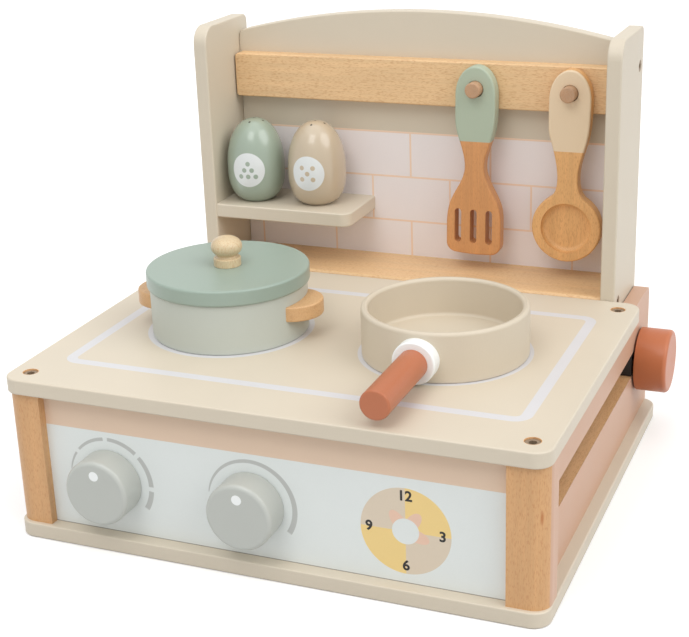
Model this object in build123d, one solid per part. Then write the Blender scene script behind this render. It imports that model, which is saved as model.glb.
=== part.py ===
# Tabletop play kitchen in painted plywood and turned beech, at its real size in millimetres.
# A shallow box carries the cooktop, two turning knobs and a back that folds away.
# The back's two wings hang on clamp bolts, which runners in long slots of the side panels carry.
# X runs left to right, Y front to back, Z up.
# The origin is the middle of the base board's underside, where the toy rests.

import os
from math import acos, asin, cos, radians, sin

from build123d import *

# Box
width = 380.0
depth = 342.0
board = 11.0
box_height = 119.0
back_bay = 75.5
board_corner = 12.0
soft_edge = 1.2

# Front posts and front panel
post_width = 26.5
post_depth = 24.0
post_side_setback = 0.5
post_front_setback = 3.0
post_corner = 12.0
post_edge = 2.0
front_panel_setback = 9.5
front_panel_thickness = 9.0

# Side panels, each with a slot for its clamp bolt
side_setback = 9.0
side_rear_corner = 7.0
slot_width = 19.0
slot_height = 63.0
slot_front = 60.0
runner_length = 22.0
runner_clearance = 0.1
runner_end_gap = 0.4

# Folding back: two wings and what stands between them
wing_side_gap = 0.8
wing_front_gap = 0.5
wing_top = 311.0
wing_front_corner = 14.0
wing_rear_corner = 6.0
back_setback = 5.5
back_bottom = 109.0
back_height = 319.0
arch_radius = 652.0
back_corner = 8.0
ledge_gap = 1.5
ledge_round = 3.0
shelf_width = 115.7
shelf_top = 168.5
shelf_corner = 9.0

# Utensil rail and its pegs
rail_thickness = 11.5
rail_bottom = 248.0
rail_height = 35.0
rail_end_gap = 0.9
rail_corner = 3.0
peg_radius = 6.0
peg_reach = 20.0
spatula_from_wing = 107.6
spoon_from_wing = 34.4

# Spatula and spoon
utensil_thickness = 11.0
utensil_gap = 1.0
utensil_edge = 1.4
hole_clearance = 0.5
hole_drop = 0.2
spatula_tilt = 1.0
spoon_tilt = 0.7
handle_half = 15.9
handle_top_rise = 17.0
handle_widest_drop = 5.5
taper_half = 14.1
taper_drop = 30.0
neck_half = 8.0
neck_drop = 29.0
shoulder_half = 17.8
shoulder_drop = 22.2
blade_half = 22.0
blade_side_drop = 21.8
blade_side_length = 23.6
blade_bow = 1.6
blade_corner = 8.0
blade_slot_width = 5.5
blade_slot_length = 27.6
blade_slot_spacing = 12.6
blade_slot_rise = 23.0
bowl_radius = 26.8
bowl_drop = 40.0
bowl_join_angle = 32.0
bowl_recess_radius = 19.6
bowl_recess_depth = 5.0
bowl_recess_round = 4.0

# Salt and pepper shakers
shaker_radius = 23.4
shaker_height = 66.7
shaker_belly = 27.3
shaker_lower = 29.2
shaker_power = 2.2
shaker_lower_power = 2.6
shaker_lower_steps = 4
shaker_upper_steps = 8
pepper_from_wing = 24.8
pepper_setback = 31.2
salt_from_wing = 77.7
salt_setback = 28.7
shaker_hole_radius = 0.8
shaker_hole_ring = 8.0
shaker_hole_depth = 4.0
shaker_ring_holes = 4
shaker_seam_turn = 45.0

# Turning knobs of the two burners
knob_radius = 23.5
knob_length = 20.6
knob_gap = 0.3
knob_round = 3.0
knob_height = 48.8
left_knob_x = -115.7
right_knob_x = -10.4
axle_radius = 3.0
axle_depth = 12.0
axle_end = 26.0
nut_washer_radius = 8.0
nut_washer_thickness = 1.2
nut_gap = 0.3
nut_across = 10.0
nut_height = 5.0

# Clamp knobs that hold the back
clamp_radius = 24.4
clamp_length = 24.3
clamp_round = 3.0
clamp_gap = 1.4
clamp_washer_gap = 0.3
clamp_washer_radius = 11.0
clamp_washer_thickness = 1.5
clamp_bolt_radius = 3.0
clamp_bolt_drop = 2.4
clamp_bolt_in_knob = 17.0
clamp_bolt_tip_gap = 1.5
bolt_head_across = 10.0
bolt_head_height = 4.0
insert_radius = 5.0
insert_length = 10.0

# Pot and its lid
pot_x = -81.8
pot_from_front = 134.4
pot_radius = 56.6
pot_height = 36.0
pot_wall = 6.0
pot_floor = 8.0
pot_turn = 2.0
lid_radius = 58.5
lid_thickness = 11.5
lid_round = 1.6
lid_lip = 3.0
lid_knob_foot_radius = 9.8
lid_knob_foot_height = 6.0
lid_knob_groove_radius = 7.4
lid_knob_groove_height = 6.8
lid_knob_radius = 11.2
lid_knob_round = 6.6
lid_knob_height = 21.6
ear_radius = 21.5
ear_centre = 49.6
ear_thickness = 11.0
ear_bottom = 16.2

# Pan and its handle
pan_x = 81.2
pan_from_front = 135.5
pan_radius = 57.5
pan_height = 35.0
pan_wall = 5.0
pan_floor = 7.0
pan_rim_round = 2.2
collar_radius = 14.8
collar_length = 8.5
handle_radius = 10.1
handle_height = 16.3
handle_end = 0.5
handle_round = 1.5

# Fasteners and fits
running_fit = 0.05
loose_fit = 0.3
cooktop_bolt_front = 16.0
cooktop_bolt_rear = 16.5
cooktop_bolt_radius = 3.0
cooktop_bolt_head = 5.0
cooktop_bolt_head_height = 5.5
cooktop_bolt_length = 36.0
cooktop_bolt_sink = 1.0
cooktop_bolt_play = 0.25
hex_across = 5.0
hex_depth = 3.5
barrel_radius = 5.0
barrel_length = 9.0
barrel_drop = 31.0
base_screw_radius = 2.0
base_screw_head = 4.0
base_screw_head_height = 2.5
base_screw_length = 38.0
base_screw_sink = 0.5
base_screw_socket = 3.0
base_screw_socket_depth = 2.0
side_screw_front = 90.0
side_screw_rear = 250.0
panel_screw_x = 76.0
wing_screw_radius = 2.5
wing_screw_head = 4.6
wing_screw_head_height = 3.5
wing_screw_length = 45.0
wing_screw_sink = 0.3
wing_screw_socket = 4.0
wing_screw_socket_depth = 2.4
wing_screw_top = 282.3
ledge_screw_setback = 11.5
dowel_radius = 3.0
dowel_length = 20.0
panel_dowel_radius = 2.5
panel_dowel_low = 30.0
panel_dowel_high = 63.0
side_dowel_low = 26.0
side_dowel_under_nut = 13.0
side_dowel_bite = 8.0
back_dowel_low = 40.0
back_dowel_high = 105.0
ledge_dowel_setback = 14.0
shelf_dowel_inset = 15.0
rail_screw_radius = 1.75
rail_screw_length = 20.0
shelf_screw_length = 34.0
rail_screw_left_inset = 48.2
rail_screw_middle = -15.0
rail_screw_right_inset = 72.2
ledge_screw_inset = 48.2
shelf_screw_left = 28.0
shelf_screw_right = 25.0
back_screw_head = 3.5
back_screw_head_height = 2.2
back_screw_socket = 2.5
back_screw_socket_depth = 1.6
lid_screw_length = 24.0
ear_dowel_length = 14.0
ear_dowel_bite = 4.5
pan_dowel_radius = 4.0
pan_dowel_bite = 4.0
pan_dowel_length = 36.0

# Places that follow from the sizes above
front = -depth / 2
rear = depth / 2
top_underside = box_height - board
side_outer = width / 2 - side_setback
side_inner = side_outer - board
side_middle = side_outer - board / 2
post_outer = width / 2 - post_side_setback
post_inner = post_outer - post_width
post_front = front + post_front_setback
post_rear = post_front + post_depth
panel_front = front + front_panel_setback
panel_rear = panel_front + front_panel_thickness
panel_middle = (panel_front + panel_rear) / 2
top_depth = depth - back_bay
top_rear = front + top_depth
wing_outer = side_inner - wing_side_gap
wing_inner = wing_outer - board
wing_front = top_rear + wing_front_gap
pivot_y = (wing_front + rear) / 2
pivot_z = slot_height - clamp_bolt_drop
back_rear = rear - back_setback
back_front = back_rear - board
back_middle = back_rear - board / 2
ledge_front = top_rear + ledge_gap
ledge_middle_z = back_bottom + board / 2
shelf_middle_z = shelf_top - board / 2
shelf_right = shelf_width - wing_inner
pepper_x = pepper_from_wing - wing_inner
salt_x = salt_from_wing - wing_inner
spatula_x = wing_inner - spatula_from_wing
spoon_x = wing_inner - spoon_from_wing
rail_screw_left = rail_screw_left_inset - wing_inner
rail_screw_right = wing_inner - rail_screw_right_inset
ledge_screw_x = wing_inner - ledge_screw_inset
rail_front = back_front - rail_thickness
rail_middle_z = rail_bottom + rail_height / 2
utensil_back = rail_front - utensil_gap
handle_top = rail_middle_z + handle_top_rise
handle_widest = rail_middle_z - handle_widest_drop
taper_height = handle_widest - taper_drop
neck_height = taper_height - neck_drop
shoulder_height = neck_height - shoulder_drop
blade_side_top = shoulder_height - blade_side_drop
blade_bottom = blade_side_top - blade_side_length
blade_slot_middle = blade_bottom + blade_slot_rise
bowl_height = neck_height - bowl_drop
knob_back = panel_front - knob_gap
washer_inner = side_outer + clamp_washer_gap
washer_outer = washer_inner + clamp_washer_thickness
clamp_inner = side_outer + clamp_gap
clamp_outer = clamp_inner + clamp_length
pot_y = front + pot_from_front
pan_y = front + pan_from_front
lid_bottom = box_height + pot_height
lid_top = lid_bottom + lid_thickness
pot_bore = pot_radius - pot_wall
collar_front = pan_y - pan_radius - collar_length
pan_handle_z = box_height + handle_height

base_low = Align.CENTER, Align.CENTER, Align.MIN
base_high = Align.CENTER, Align.CENTER, Align.MAX
both_sides = (-1, 1)

# Turns that point a fastener, drawn with its tip down, another way
to_up = (180, 0, 0)
to_left = (0, 90, 0)
to_right = (0, -90, 0)
to_front = (-90, 0, 0)


def block(x, y, z):
    """Box between two limits on each axis."""
    sizes = [abs(limits[1] - limits[0]) for limits in (x, y, z)]
    middles = [(limits[0] + limits[1]) / 2 for limits in (x, y, z)]
    return Pos(*middles) * Box(*sizes)


def rod_x(radius, x, y, z):
    """Cylinder along X between two limits."""
    return Pos(min(x), y, z) * Rot(0, 90, 0) * Cylinder(radius, abs(x[1] - x[0]), align=base_low)


def rod_y(radius, x, y, z):
    """Cylinder along Y between two limits."""
    return Pos(x, min(y), z) * Rot(-90, 0, 0) * Cylinder(radius, abs(y[1] - y[0]), align=base_low)


def rod_z(radius, x, y, z):
    """Cylinder along Z between two limits."""
    return Pos(x, y, min(z)) * Cylinder(radius, abs(z[1] - z[0]), align=base_low)


def soften(shape, axis, radius=soft_edge):
    """Round the edges of the faces that look along one axis."""
    return fillet(shape.faces().filter_by(axis).edges(), radius)


def headed(shank, head, head_height, length):
    """Fastener with a straight head, its head's top at Z 0 and its tip down."""
    return Cylinder(head, head_height, align=base_high) + Cylinder(shank, length, align=base_high)


def countersunk(shank, head, head_height, length):
    """Wood screw with a cone under its head, its head's top at Z 0 and its tip down."""
    cone = Cone(shank, head, head_height, align=base_high)
    return cone + Cylinder(shank, length, align=base_high)


def hex_socket(across, socket_depth):
    """Hexagon hole for the key, cut down from Z 0."""
    hexagon = RegularPolygon(across / 2, 6, major_radius=False)
    return extrude(hexagon, -socket_depth)


def place(fastener, points, turn=(0, 0, 0)):
    """Copies of a fastener at several points, all turned alike."""
    return [Pos(*point) * Rot(*turn) * fastener for point in points]


def group(solids):
    """Separate solids kept in one node."""
    return Compound(children=list(solids))


# Cooktop bolts run down into barrel nuts in the posts and the side panels
cooktop_bolt_points = [
    (side * side_middle, y, box_height - cooktop_bolt_sink)
    for side in both_sides
    for y in (front + cooktop_bolt_front, top_rear - cooktop_bolt_rear)
]
cooktop_bolt = headed(
    cooktop_bolt_radius, cooktop_bolt_head, cooktop_bolt_head_height, cooktop_bolt_length
)
cooktop_bolt_bodies = place(cooktop_bolt, cooktop_bolt_points)


def cooktop_bolts():
    """Four socket-head bolts that hold the top board down."""
    bolt = cooktop_bolt - hex_socket(hex_across, hex_depth)
    return group(place(bolt, cooktop_bolt_points))


def cooktop_bolt_pockets():
    """Round pockets in the top board, a little wider than the bolt heads."""
    height = cooktop_bolt_head_height + cooktop_bolt_sink
    pocket = Cylinder(cooktop_bolt_head + cooktop_bolt_play, height, align=base_high)
    return place(pocket, [(x, y, box_height) for x, y, _ in cooktop_bolt_points])


def barrel_span(side, inner=None):
    """X limits of a barrel nut, or of its bore when it starts at an inner face."""
    start = side_middle - barrel_length / 2 if inner is None else inner
    return side * start, side * (side_middle + barrel_length / 2)


def barrel_z():
    """Height of the barrel nuts."""
    return box_height - barrel_drop


def cooktop_barrel_nuts():
    """Four cross-drilled barrel nuts that the cooktop bolts screw into."""
    nuts = [
        rod_x(barrel_radius, barrel_span(1 if x > 0 else -1), y, barrel_z())
        for x, y, _ in cooktop_bolt_points
    ]
    return group([nut - cooktop_bolt_bodies for nut in nuts])


def barrel_bores(inner, y):
    """Bores for the barrel nuts, from an inner face outwards."""
    return [rod_x(barrel_radius, barrel_span(side, inner), y, barrel_z()) for side in both_sides]


# Base screws come up through the base board
base_screw_points = [
    (side * x, y, base_screw_sink)
    for side in both_sides
    for x, y in (
        (side_middle, post_front + post_depth / 2),
        (side_middle, front + side_screw_front),
        (side_middle, front + side_screw_rear),
        (panel_screw_x, panel_middle),
    )
]
base_screw = countersunk(
    base_screw_radius, base_screw_head, base_screw_head_height, base_screw_length
)
base_screw_bodies = place(base_screw, base_screw_points, to_up)


def base_screws():
    """Countersunk screws that hold the posts, the sides and the front panel to the base."""
    screw = base_screw - hex_socket(base_screw_socket, base_screw_socket_depth)
    return group(place(screw, base_screw_points, to_up))


def panel_dowels():
    """Four dowels between the ends of the front panel and the posts."""
    half = dowel_length / 2
    return [
        rod_x(panel_dowel_radius, (side * (post_inner - half), side * (post_inner + half)),
              panel_middle, z)
        for side in both_sides
        for z in (panel_dowel_low, panel_dowel_high)
    ]


def side_dowels():
    """Four dowels between the posts and the front edges of the side panels."""
    start = post_rear - side_dowel_bite
    return [
        rod_y(dowel_radius, side * side_middle, (start, start + dowel_length), z)
        for side in both_sides
        for z in (side_dowel_low, barrel_z() - side_dowel_under_nut)
    ]


def corner_board(length, bottom):
    """Board with four round corners, as wide as the toy."""
    plate = block((-width / 2, width / 2), (front, front + length), (bottom, bottom + board))
    plate = fillet(plate.edges().filter_by(Axis.Z), board_corner)
    return soften(plate, Axis.Z)


def base_board():
    """Bottom board that the toy rests on."""
    holes = place(
        Cylinder(base_screw_head, base_screw_sink, align=base_low),
        [(x, y, 0) for x, y, _ in base_screw_points],
    )
    return corner_board(depth, 0) - base_screw_bodies - holes


def top_board():
    """Cooktop, shorter than the base so that the back stands behind it."""
    return corner_board(top_depth, top_underside) - cooktop_bolt_bodies - cooktop_bolt_pockets()


def front_post(side):
    """Beech corner post with a large round on its outer front edge."""
    x = side * post_inner, side * post_outer
    post = block(x, (post_front, post_rear), (board, top_underside))
    uprights = post.edges().filter_by(Axis.Z)
    outer = uprights.filter_by(lambda edge: side * edge.center().X > (post_inner + post_outer) / 2)
    outer_front, outer_rear = outer.sort_by(Axis.Y)
    post = fillet(outer_front, post_corner)
    outer_rear = post.edges().filter_by(Axis.Z).sort_by(Axis.Y).filter_by(
        lambda edge: side * edge.center().X > post_outer - post_edge
    )[-1]
    post = fillet(outer_rear, post_edge)
    bolts = barrel_bores(post_inner, front + cooktop_bolt_front)
    return post - cooktop_bolt_bodies - base_screw_bodies - panel_dowels() - side_dowels() - bolts


def side_panel(side):
    """Side wall with the long round-ended slot that the clamp bolt's runner slides in."""
    x = side * side_inner, side * side_outer
    panel = block(x, (post_rear, rear), (board, top_underside))
    rear_top = panel.edges().filter_by(Axis.X).sort_by(Axis.Y)[-2:].sort_by(Axis.Z)[-1]
    panel = fillet(rear_top, side_rear_corner)
    slot_y = front + slot_front, pivot_y
    slot = block(x, slot_y, (slot_height - slot_width / 2, slot_height + slot_width / 2))
    for y in slot_y:
        slot += rod_x(slot_width / 2, x, y, slot_height)
    bores = barrel_bores(side_inner, top_rear - cooktop_bolt_rear)
    return panel - slot - cooktop_bolt_bodies - base_screw_bodies - side_dowels() - bores


def front_panel():
    """Printed panel between the posts, with a bore for each knob's axle."""
    panel = block((-post_inner, post_inner), (panel_front, panel_rear), (board, top_underside))
    bores = [
        rod_y(axle_radius + running_fit, x, (panel_front, panel_rear), knob_height)
        for x in (left_knob_x, right_knob_x)
    ]
    return panel - bores - base_screw_bodies - panel_dowels()


def hex_nut(across, height):
    """Plain hexagon nut standing on Z 0."""
    return extrude(RegularPolygon(across / 2, 6, major_radius=False), height)


def burner_knob(x):
    """Flat round knob with its pin hole; the pin is glued in."""
    knob = rod_y(knob_radius, x, (knob_back - knob_length, knob_back), knob_height)
    faces = knob.faces().filter_by(Axis.Y).sort_by(Axis.Y)
    knob = fillet(faces[0].edges(), knob_round)
    return knob - rod_y(axle_radius, x, (knob_back - axle_depth, knob_back), knob_height)


def knob_axle(x):
    """Steel pin of a burner knob, through the front panel."""
    return rod_y(axle_radius, x, (knob_back - axle_depth, front + axle_end), knob_height)


def knob_washer(x):
    """Washer behind the front panel."""
    start = panel_rear + nut_gap
    y = start, start + nut_washer_thickness
    return rod_y(nut_washer_radius, x, y, knob_height) - rod_y(axle_radius, x, y, knob_height)


def knob_nut(x):
    """Nut that keeps a burner knob's pin in the panel."""
    start = panel_rear + nut_gap + nut_washer_thickness
    nut = Pos(x, start, knob_height) * Rot(-90, 0, 0) * hex_nut(nut_across, nut_height)
    return nut - rod_y(axle_radius, x, (start, start + nut_height), knob_height)


# Wing screws, two on each side: into the back board above and the ledge below
wing_screw_places = (
    (back_middle, wing_screw_top),
    (ledge_front + ledge_screw_setback, ledge_middle_z),
)
wing_screw = headed(
    wing_screw_radius, wing_screw_head, wing_screw_head_height, wing_screw_length
)


def wing_screw_copies(screw):
    """A screw at each of the four places, pointing inwards."""
    x = wing_outer - wing_screw_sink
    left = place(screw, [(-x, y, z) for y, z in wing_screw_places], to_right)
    right = place(screw, [(x, y, z) for y, z in wing_screw_places], to_left)
    return left + right


def wing_screws():
    """Socket-head screws that hold the back board and the ledge between the wings."""
    socket = hex_socket(wing_screw_socket, wing_screw_socket_depth)
    return group(wing_screw_copies(wing_screw - socket))


def wing_screw_holes():
    """Holes for the screws and their heads, open to the outside."""
    pocket = Cylinder(wing_screw_head, wing_screw_sink, align=base_low)
    return wing_screw_copies(wing_screw) + wing_screw_copies(pocket)


def wing_dowels():
    """Dowels between the wings and the back board, the ledge and the shelf."""
    setback_y = back_front - ledge_dowel_setback
    shared = ((back_middle, back_bottom + back_dowel_low), (back_middle, back_bottom + back_dowel_high),
              (setback_y, ledge_middle_z))
    shelf_only = ((setback_y, shelf_middle_z), (ledge_front + shelf_dowel_inset, shelf_middle_z))
    half = dowel_length / 2
    dowels = []
    for side, places in ((-1, shared + shelf_only), (1, shared)):
        x = side * (wing_inner - half), side * (wing_inner + half)
        dowels += [rod_x(dowel_radius, x, y, z) for y, z in places]
    return dowels


def back_screw(length):
    """Small countersunk screw for the back board, envelope without its socket."""
    return countersunk(rail_screw_radius, back_screw_head, back_screw_head_height, length)


rail_screw_points = [(x, back_rear, rail_middle_z)
                     for x in (rail_screw_left, rail_screw_middle, rail_screw_right)]
shelf_screw_points = [
    (shelf_right - shelf_screw_right, back_rear, shelf_middle_z),
    (shelf_screw_left - wing_inner, back_rear, shelf_middle_z),
] + [(x, back_rear, ledge_middle_z) for x in (-ledge_screw_x, 0, ledge_screw_x)]


def back_screw_envelopes():
    """Every screw that comes from behind the back board."""
    short = place(back_screw(rail_screw_length), rail_screw_points, to_front)
    return short + place(back_screw(shelf_screw_length), shelf_screw_points, to_front)


def screws_from_behind(length, points):
    """One set of back screws with their sockets."""
    screw = back_screw(length) - hex_socket(back_screw_socket, back_screw_socket_depth)
    return group(place(screw, points, to_front))


def wing(side):
    """Upright side of the folding back, round at its foot about the clamp bolt."""
    x = side * wing_inner, side * wing_outer
    plate = block(x, (wing_front, rear), (pivot_z, wing_top))
    front_edge, rear_edge = plate.edges().filter_by(Axis.X).group_by(Axis.Z)[-1].sort_by(Axis.Y)
    plate = fillet(front_edge, wing_front_corner)
    rear_edge = plate.edges().filter_by(Axis.X).sort_by(Axis.Z)[-2:].sort_by(Axis.Y)[-1]
    plate = fillet(rear_edge, wing_rear_corner)
    plate += rod_x((rear - wing_front) / 2, x, pivot_y, pivot_z)
    plate = soften(plate, Axis.X)
    insert = rod_x(insert_radius, (side * (wing_outer - insert_length), side * wing_outer),
                   pivot_y, pivot_z)
    return plate - insert - wing_screw_holes() - wing_dowels()


def clamp_insert(side):
    """Threaded insert in a wing, which the clamp bolt screws into."""
    x = side * (wing_outer - insert_length), side * wing_outer
    hole = rod_x(clamp_bolt_radius + running_fit, x, pivot_y, pivot_z)
    return rod_x(insert_radius, x, pivot_y, pivot_z) - hole


def slot_runner(side):
    """Black runner at the slot's rear end, which carries the clamp bolt."""
    x = side * side_inner, side * (side_outer - runner_end_gap)
    half = slot_width / 2 - runner_clearance
    runner = block(x, (pivot_y - runner_length, pivot_y), (slot_height - half, slot_height + half))
    runner += rod_x(half, x, pivot_y, slot_height)
    return runner - rod_x(clamp_bolt_radius + loose_fit, x, pivot_y, pivot_z)


def clamp_bolt_limits(side):
    """X limits of a clamp bolt, from inside the wing into the knob."""
    start = wing_outer - insert_length + clamp_bolt_tip_gap
    return side * start, side * (clamp_inner + clamp_bolt_in_knob)


def clamp_bolt_envelope(side):
    """Clamp bolt with its hexagon head."""
    head = hex_nut(bolt_head_across, bolt_head_height)
    turn = to_left if side < 0 else to_right
    tip, top = clamp_bolt_limits(side)
    head = Pos(top, pivot_y, pivot_z) * Rot(*turn) * Rot(180, 0, 0) * head
    return rod_x(clamp_bolt_radius, (tip, top), pivot_y, pivot_z) + head


def clamp_washer(side):
    """Steel washer that presses on the side panel."""
    x = side * washer_inner, side * washer_outer
    hole = rod_x(clamp_bolt_radius + running_fit, x, pivot_y, pivot_z)
    return rod_x(clamp_washer_radius, x, pivot_y, pivot_z) - hole


def clamp_knob(side):
    """Large round knob outside the side panel, with a seat for its washer."""
    x = side * clamp_inner, side * clamp_outer
    knob = rod_x(clamp_radius, x, pivot_y, pivot_z)
    outer_face = knob.faces().filter_by(Axis.X).sort_by(Axis.X)[-1 if side > 0 else 0]
    knob = fillet(outer_face.edges(), clamp_round)
    seat = rod_x(clamp_washer_radius + loose_fit, (side * clamp_inner, side * washer_outer),
                 pivot_y, pivot_z)
    return knob - seat - clamp_bolt_envelope(side)


def back_board():
    """Panel between the wings, arched at the top, with the tile print on its front."""
    panel = block((-wing_inner, wing_inner), (back_front, back_rear), (back_bottom, back_height))
    panel &= rod_y(arch_radius, 0, (back_front, back_rear), back_height - arch_radius)
    corners = panel.edges().filter_by(Axis.Y).sort_by(Axis.Z)[-2:]
    panel = fillet(corners, back_corner)
    upper = [edge for edge in panel.faces().filter_by(Axis.Y).edges()
             if edge.center().Z > rail_bottom + rail_height]
    panel = fillet(upper, soft_edge)
    return panel - pegs_shape() - back_screw_envelopes() - wing_screw_holes() - wing_dowels()


def peg(x):
    """Round peg through the rail and into the back board."""
    y = rail_front - peg_reach, back_front + board / 2
    pin = rod_y(peg_radius, x, y, rail_middle_z)
    return fillet(pin.faces().filter_by(Axis.Y).sort_by(Axis.Y)[0].edges(), soft_edge)


def pegs_shape():
    """Both pegs, for cutting their holes."""
    return [peg(x) for x in (spatula_x, spoon_x)]


def utensil_rail():
    """Beech rail on the back board that holds the pegs."""
    half = wing_inner - rail_end_gap
    rail = block((-half, half), (rail_front, back_front), (rail_bottom, rail_bottom + rail_height))
    rail = fillet(rail.edges().filter_by(Axis.Y), rail_corner)
    rail = fillet(rail.faces().filter_by(Axis.Y).sort_by(Axis.Y)[0].edges(), soft_edge)
    return rail - pegs_shape() - back_screw_envelopes()


def ledge():
    """Beech ledge at the foot of the back, just above the cooktop."""
    plank = block((-wing_inner, wing_inner), (ledge_front, back_front),
                  (back_bottom, back_bottom + board))
    edge = plank.edges().filter_by(Axis.X).sort_by(Axis.Y)[:2].sort_by(Axis.Z)[-1]
    plank = fillet(edge, ledge_round)
    return plank - back_screw_envelopes() - wing_screw_holes() - wing_dowels()


def shelf():
    """Small shelf at the left for the shakers."""
    plank = block((-wing_inner, shelf_right), (ledge_front, back_front),
                  (shelf_top - board, shelf_top))
    corner = plank.edges().filter_by(Axis.Z).sort_by(Axis.Y)[:2].sort_by(Axis.X)[-1]
    plank = fillet(corner, shelf_corner)
    free = [edge for edge in plank.faces().filter_by(Axis.Z).edges()
            if edge.center().Y < back_front - soft_edge and edge.center().X > soft_edge - wing_inner]
    plank = fillet(free, soft_edge)
    return plank - back_screw_envelopes() - wing_dowels()


def oval(height, power, angles):
    """Points of a rounded quarter oval over the belly, at angles from 0 at its widest point."""
    return [
        (shaker_radius * cos(angle) ** (2 / power), shaker_belly + height * sin(angle) ** (2 / power))
        for angle in angles
    ]


def steps(end, count):
    """Evenly spaced values from 0 to an end."""
    return [end * step / count for step in range(count + 1)]


def shaker(x, setback):
    """Egg-shaped shaker, cut flat to stand, with five small holes in its top."""
    foot_angle = asin((shaker_belly / shaker_lower) ** (shaker_lower_power / 2))
    lower = oval(-shaker_lower, shaker_lower_power, reversed(steps(foot_angle, shaker_lower_steps)))
    tip_angle = acos((shaker_hole_radius / shaker_radius) ** (shaker_power / 2))
    upper = oval(shaker_height - shaker_belly, shaker_power, steps(tip_angle, shaker_upper_steps))
    hole_floor = shaker_height - shaker_hole_depth
    with BuildSketch(Plane.XZ) as half:
        with BuildLine():
            Line((0, 0), lower[0])
            Spline(*lower, tangents=[(lower[1][0] - lower[0][0], lower[1][1] - lower[0][1]), (0, 1)])
            Spline(*upper, tangents=[(0, 1), (-1, 0)])
            Polyline(upper[-1], (shaker_hole_radius, hole_floor), (0, hole_floor), (0, 0))
        make_face()
    egg = Rot(0, 0, shaker_seam_turn) * revolve(half.sketch, Axis.Z)
    hole = Pos(shaker_hole_ring, 0, hole_floor) * Cylinder(
        shaker_hole_radius, 2 * shaker_hole_depth, align=base_low
    )
    ring = [Rot(0, 0, 360 * i / shaker_ring_holes) * hole for i in range(shaker_ring_holes)]
    return Pos(x, back_front - setback, shelf_top) * (egg - ring)


def utensil_plane(x):
    """Plane of a hanging utensil's back, drawn as seen from the front."""
    return Plane(origin=(x, utensil_back, 0), x_dir=(1, 0, 0), z_dir=(0, -1, 0))


def handle_line():
    """Right half of the handle, from its top down to the neck."""
    EllipticalCenterArc((0, handle_widest), handle_half, handle_top - handle_widest, 0, arc_size=90)


def peg_hole():
    """Hole that hangs on the peg, a little below it so that its top rests there."""
    radius = peg_radius + hole_clearance
    return Pos(0, rail_middle_z - hole_drop) * Circle(radius)


def finish_utensil(outline, x):
    """Thicken a utensil's outline and round the edges of both faces."""
    body = extrude(utensil_plane(x) * outline, utensil_thickness)
    return soften(body, Axis.Y, utensil_edge)


def hang(utensil, x, tilt):
    """Tilt a utensil a little about its peg, as it hangs."""
    peg_axis = Pos(x, 0, rail_middle_z)
    return peg_axis * Rot(0, tilt, 0) * peg_axis.inverse() * utensil


def spatula():
    """Beech spatula with three slots in its blade."""
    with BuildSketch() as outline:
        with BuildLine():
            handle_line()
            Spline((handle_half, handle_widest), (taper_half, taper_height), (neck_half, neck_height),
                   (shoulder_half, shoulder_height), (blade_half, blade_side_top),
                   tangents=[(0, -1), (0, -1)])
            Line((blade_half, blade_side_top), (blade_half, blade_bottom + blade_bow))
            ThreePointArc((blade_half, blade_bottom + blade_bow), (0, blade_bottom),
                          (-blade_half, blade_bottom + blade_bow))
            Line((-blade_half, blade_bottom + blade_bow), (-blade_half, blade_side_top))
            Spline((-blade_half, blade_side_top), (-shoulder_half, shoulder_height),
                   (-neck_half, neck_height), (-taper_half, taper_height),
                   (-handle_half, handle_widest), tangents=[(0, 1), (0, 1)])
            EllipticalCenterArc((0, handle_widest), handle_half, handle_top - handle_widest, 90,
                                arc_size=90)
        make_face()
        low = outline.vertices().sort_by(Axis.Y)[:2]
        fillet(low, blade_corner)
    body = finish_utensil(outline.sketch, spatula_x)
    slot = Rot(0, 0, 90) * SlotOverall(blade_slot_length, blade_slot_width)
    slots = [Pos(i * blade_slot_spacing, blade_slot_middle) * slot for i in (-1, 0, 1)]
    cuts = [extrude(utensil_plane(spatula_x) * face, utensil_thickness)
            for face in slots + [peg_hole()]]
    return hang(body - cuts, spatula_x, spatula_tilt)


def spoon():
    """Beech spoon with a round dished bowl."""
    a = radians(bowl_join_angle)
    join = bowl_radius * sin(a), bowl_height + bowl_radius * cos(a)
    with BuildSketch() as outline:
        with BuildLine():
            handle_line()
            Spline((handle_half, handle_widest), (taper_half, taper_height), (neck_half, neck_height),
                   join, tangents=[(0, -1), (cos(a), -sin(a))])
            ThreePointArc(join, (0, bowl_height - bowl_radius), (-join[0], join[1]))
            Spline((-join[0], join[1]), (-neck_half, neck_height), (-taper_half, taper_height),
                   (-handle_half, handle_widest), tangents=[(cos(a), sin(a)), (0, 1)])
            EllipticalCenterArc((0, handle_widest), handle_half, handle_top - handle_widest, 90,
                                arc_size=90)
        make_face()
    body = finish_utensil(outline.sketch, spoon_x)
    dish = Cylinder(bowl_recess_radius, bowl_recess_depth, align=base_high)
    dish = fillet(dish.faces().sort_by(Axis.Z)[0].edges(), bowl_recess_round)
    face = utensil_plane(spoon_x).offset(utensil_thickness)
    hole = extrude(utensil_plane(spoon_x) * peg_hole(), utensil_thickness)
    return hang(body - hole - face * Pos(0, bowl_height) * dish, spoon_x, spoon_tilt)


def at_pot(shape):
    """Move a shape drawn at the origin to the pot's place on the cooktop."""
    return Pos(pot_x, pot_y, box_height) * Rot(0, 0, pot_turn) * shape


def ear_dowel_list():
    """Dowels that hold the pot's two ears, drawn at the origin."""
    start = pot_radius - ear_dowel_bite
    z = ear_bottom + ear_thickness / 2
    return [rod_x(panel_dowel_radius, (side * start, side * (start + ear_dowel_length)), 0, z)
            for side in both_sides]


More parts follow.
